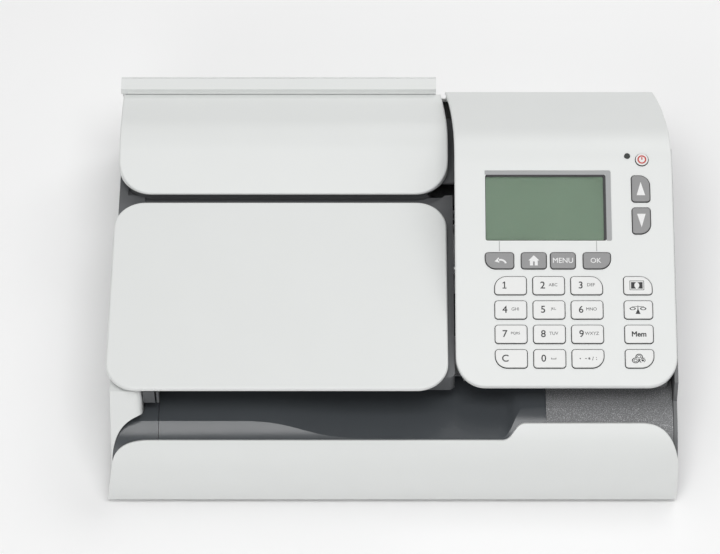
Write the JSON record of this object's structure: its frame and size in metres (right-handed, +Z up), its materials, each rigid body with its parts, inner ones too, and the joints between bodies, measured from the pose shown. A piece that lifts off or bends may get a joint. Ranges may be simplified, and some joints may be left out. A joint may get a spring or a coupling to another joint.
{
  "type": "franking machine",
  "caption": "Desktop franking machine with a weigh platform, sloped keypad and display, lifting ink cover, and an open front mail deck with a slot.",
  "frame": {"origin": "on the standing surface, below the middle of the machine", "axes": "+X to the operator's right, +Y to the back, +Z up"},
  "size_m": [0.385, 0.304, 0.1197],
  "materials": {
    "white_plastic": "satin",
    "dark_plastic": "satin",
    "textured_plastic": "textured",
    "deck_plastic": "satin",
    "key_white": "satin",
    "key_grey": "satin",
    "key_power": "satin",
    "rubber": "matt",
    "steel": "plain",
    "aluminium": "plain",
    "lcd_glass": "clear",
    "lcd_screen": "satin",
    "led_lens": "gloss",
    "circuit_board": "satin",
    "black_plastic": "satin",
    "cartridge_plastic": "satin",
    "latch_plastic": "satin"
  },
  "bodies": {
    "machine": {"base_casing": "white_plastic", "carriage_motor": "steel", "case_screws": "steel", "chassis": "steel", "control_panel": "white_plastic", "cover_hinge_pins": "steel", "data_port": "black_plastic", "deck_end": "deck_plastic", "drive_belt": "rubber", "feed_motor": "steel", "front_fascia": "white_plastic", "guide_rods": "steel", "keypad_board": "circuit_board", "lcd_module": "lcd_screen", "lcd_window": "lcd_glass", "load_cell": "aluminium", "mail_deck": "deck_plastic", "main_board": "circuit_board", "maintenance_station": "black_plastic", "mid_housing": "dark_plastic", "power_inlet": "black_plastic", "rear_casing": "white_plastic", "right_housing": "textured_plastic", "right_side_panel": "dark_plastic", "rubber_feet": "rubber", "security_module": "black_plastic", "status_led": "led_lens"},
    "cover": {"ink_cover": "white_plastic"},
    "platform": {"weigh_platform": "white_plastic", "platform_spider": "aluminium"},
    "carriage": {"print_carriage": "black_plastic", "ink_cartridge": "cartridge_plastic"},
    "latch": {"cartridge_latch": "latch_plastic"},
    "motor_pulley": {"motor_pulley": "black_plastic"},
    "idler_pulley": {"idler_pulley": "black_plastic"},
    "feed_roller": {"feed_shaft": "steel", "feed_rollers": "rubber"},
    "key_clear": {"key_clear": "key_white"},
    "key_0": {"key_0": "key_white"},
    "key_symbols": {"key_symbols": "key_white"},
    "key_1": {"key_1": "key_white"},
    "key_2": {"key_2": "key_white"},
    "key_3": {"key_3": "key_white"},
    "key_4": {"key_4": "key_white"},
    "key_5": {"key_5": "key_white"},
    "key_6": {"key_6": "key_white"},
    "key_7": {"key_7": "key_white"},
    "key_8": {"key_8": "key_white"},
    "key_9": {"key_9": "key_white"},
    "key_images": {"key_images": "key_white"},
    "key_memory": {"key_memory": "key_white"},
    "key_weigh": {"key_weigh": "key_white"},
    "key_postage": {"key_postage": "key_white"},
    "key_back": {"key_back": "key_grey"},
    "key_home": {"key_home": "key_grey"},
    "key_menu": {"key_menu": "key_grey"},
    "key_ok": {"key_ok": "key_grey"},
    "key_up": {"key_up": "key_grey"},
    "key_down": {"key_down": "key_grey"},
    "key_power": {"key_power": "key_power"}
  },
  "joints": [
    {"name": "cover_hinge", "type": "hinge", "parent": "machine", "child": "cover", "pos_m": [-0.076, 0.127, 0.0805], "axis": [-1, 0, 0], "range_deg": [0, 68]},
    {"name": "platform_travel", "type": "slide", "parent": "machine", "child": "platform", "axis": [0, 0, -1], "range_m": [0, 0.0005], "stiffness_N_per_m": 60000},
    {"name": "carriage_slide", "type": "slide", "parent": "machine", "child": "carriage", "axis": [-1, 0, 0], "range_m": [0, 0.147]},
    {"name": "latch_slide", "type": "slide", "parent": "carriage", "child": "latch", "axis": [0, 1, 0], "range_m": [0, 0.004]},
    {"name": "motor_pulley_spin", "type": "hinge", "parent": "machine", "child": "motor_pulley", "pos_m": [0.164, 0.044, 0.062], "axis": [0, 0, 1], "range_deg": [0, 1440]},
    {"name": "idler_pulley_spin", "type": "hinge", "parent": "machine", "child": "idler_pulley", "pos_m": [-0.052, 0.044, 0.062], "axis": [0, 0, 1], "range_deg": [0, 1440]},
    {"name": "feed_roller_spin", "type": "hinge", "parent": "machine", "child": "feed_roller", "pos_m": [0.02, -0.06, 0.03], "axis": [1, 0, 0], "continuous": true},
    {"name": "key_clear_press", "type": "slide", "parent": "machine", "child": "key_clear", "axis": [0, 0.2924, -0.9563], "range_m": [0, 0.0012], "stiffness_N_per_m": 400},
    {"name": "key_0_press", "type": "slide", "parent": "machine", "child": "key_0", "axis": [0, 0.2924, -0.9563], "range_m": [0, 0.0012], "stiffness_N_per_m": 400},
    {"name": "key_symbols_press", "type": "slide", "parent": "machine", "child": "key_symbols", "axis": [0, 0.2924, -0.9563], "range_m": [0, 0.0012], "stiffness_N_per_m": 400},
    {"name": "key_1_press", "type": "slide", "parent": "machine", "child": "key_1", "axis": [0, 0.2924, -0.9563], "range_m": [0, 0.0012], "stiffness_N_per_m": 400},
    {"name": "key_2_press", "type": "slide", "parent": "machine", "child": "key_2", "axis": [0, 0.2924, -0.9563], "range_m": [0, 0.0012], "stiffness_N_per_m": 400},
    {"name": "key_3_press", "type": "slide", "parent": "machine", "child": "key_3", "axis": [0, 0.2924, -0.9563], "range_m": [0, 0.0012], "stiffness_N_per_m": 400},
    {"name": "key_4_press", "type": "slide", "parent": "machine", "child": "key_4", "axis": [0, 0.2924, -0.9563], "range_m": [0, 0.0012], "stiffness_N_per_m": 400},
    {"name": "key_5_press", "type": "slide", "parent": "machine", "child": "key_5", "axis": [0, 0.2924, -0.9563], "range_m": [0, 0.0012], "stiffness_N_per_m": 400},
    {"name": "key_6_press", "type": "slide", "parent": "machine", "child": "key_6", "axis": [0, 0.2924, -0.9563], "range_m": [0, 0.0012], "stiffness_N_per_m": 400},
    {"name": "key_7_press", "type": "slide", "parent": "machine", "child": "key_7", "axis": [0, 0.2924, -0.9563], "range_m": [0, 0.0012], "stiffness_N_per_m": 400},
    {"name": "key_8_press", "type": "slide", "parent": "machine", "child": "key_8", "axis": [0, 0.2924, -0.9563], "range_m": [0, 0.0012], "stiffness_N_per_m": 400},
    {"name": "key_9_press", "type": "slide", "parent": "machine", "child": "key_9", "axis": [0, 0.2924, -0.9563], "range_m": [0, 0.0012], "stiffness_N_per_m": 400},
    {"name": "key_images_press", "type": "slide", "parent": "machine", "child": "key_images", "axis": [0, 0.2924, -0.9563], "range_m": [0, 0.0012], "stiffness_N_per_m": 400},
    {"name": "key_memory_press", "type": "slide", "parent": "machine", "child": "key_memory", "axis": [0, 0.2924, -0.9563], "range_m": [0, 0.0012], "stiffness_N_per_m": 400},
    {"name": "key_weigh_press", "type": "slide", "parent": "machine", "child": "key_weigh", "axis": [0, 0.2924, -0.9563], "range_m": [0, 0.0012], "stiffness_N_per_m": 400},
    {"name": "key_postage_press", "type": "slide", "parent": "machine", "child": "key_postage", "axis": [0, 0.2924, -0.9563], "range_m": [0, 0.0012], "stiffness_N_per_m": 400},
    {"name": "key_back_press", "type": "slide", "parent": "machine", "child": "key_back", "axis": [0, 0.2924, -0.9563], "range_m": [0, 0.0012], "stiffness_N_per_m": 400},
    {"name": "key_home_press", "type": "slide", "parent": "machine", "child": "key_home", "axis": [0, 0.2924, -0.9563], "range_m": [0, 0.0012], "stiffness_N_per_m": 400},
    {"name": "key_menu_press", "type": "slide", "parent": "machine", "child": "key_menu", "axis": [0, 0.2924, -0.9563], "range_m": [0, 0.0012], "stiffness_N_per_m": 400},
    {"name": "key_ok_press", "type": "slide", "parent": "machine", "child": "key_ok", "axis": [0, 0.2924, -0.9563], "range_m": [0, 0.0012], "stiffness_N_per_m": 400},
    {"name": "key_up_press", "type": "slide", "parent": "machine", "child": "key_up", "axis": [0, 0.2924, -0.9563], "range_m": [0, 0.0012], "stiffness_N_per_m": 400},
    {"name": "key_down_press", "type": "slide", "parent": "machine", "child": "key_down", "axis": [0, 0.2924, -0.9563], "range_m": [0, 0.0012], "stiffness_N_per_m": 400},
    {"name": "key_power_press", "type": "slide", "parent": "machine", "child": "key_power", "axis": [0, 0.2924, -0.9563], "range_m": [0, 0.0012], "stiffness_N_per_m": 400}
  ],
  "couplings": [
    {"joint": "motor_pulley_spin", "follows": "carriage_slide", "rad_per_m": 158.73},
    {"joint": "idler_pulley_spin", "follows": "carriage_slide", "rad_per_m": 158.73}
  ]
}
